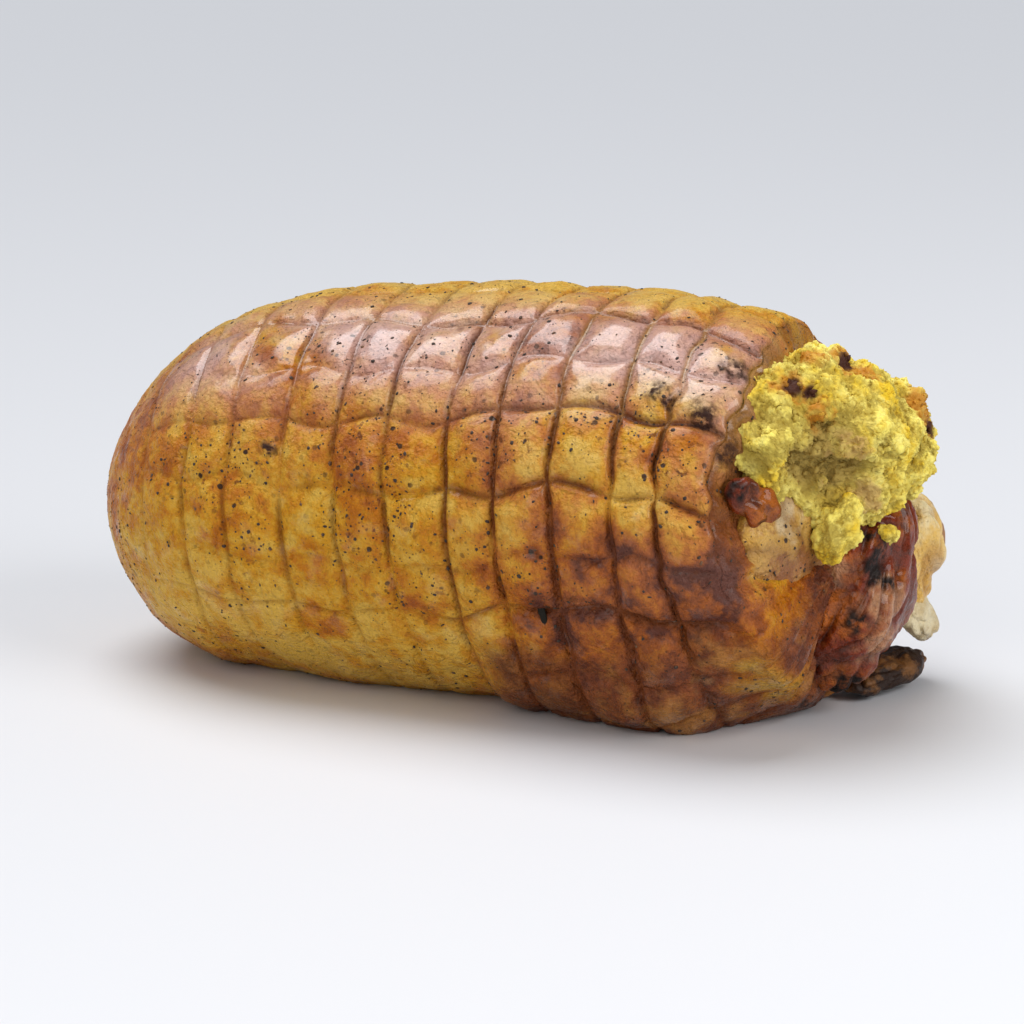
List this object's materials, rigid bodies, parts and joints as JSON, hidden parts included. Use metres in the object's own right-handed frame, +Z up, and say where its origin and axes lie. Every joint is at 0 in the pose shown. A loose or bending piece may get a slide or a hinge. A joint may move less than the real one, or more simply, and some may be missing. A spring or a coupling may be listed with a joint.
{
  "type": "turducken roll",
  "caption": "Roast turducken roll: a log of turkey with net-pressed skin, domed at one end and open at the other, where cornbread stuffing and folded inner poultry bulge out.",
  "frame": {"origin": "middle of the underside, in the middle of the whole roll's length and width", "axes": "+Z up; the roll lies along X, with its domed end towards -X and its open end towards +X"},
  "size_m": [0.2274, 0.1166, 0.1065],
  "materials": {
    "roast_skin": "glossy roast skin, golden to orange-brown, with pepper and a pressed net pattern",
    "inner_poultry": "moist cooked poultry, pale gold to tan",
    "cornbread": "matte yellow crumb with browned tips",
    "browned_skin": "glossy red-brown skin with charred spots",
    "pale_meat": "moist pale meat with a browned tip",
    "charred_meat": "charred, nearly black, slightly glossy"
  },
  "bodies": {
    "root": {"turkey_roll": "roast_skin", "inner_poultry": "inner_poultry", "cornbread_stuffing": "cornbread", "folded_flap": "browned_skin", "meat_fold": "inner_poultry", "skin_curl": "browned_skin", "stuffing_chunk": "cornbread", "pale_strip": "pale_meat", "charred_edge": "charred_meat"}
  },
  "joints": []
}
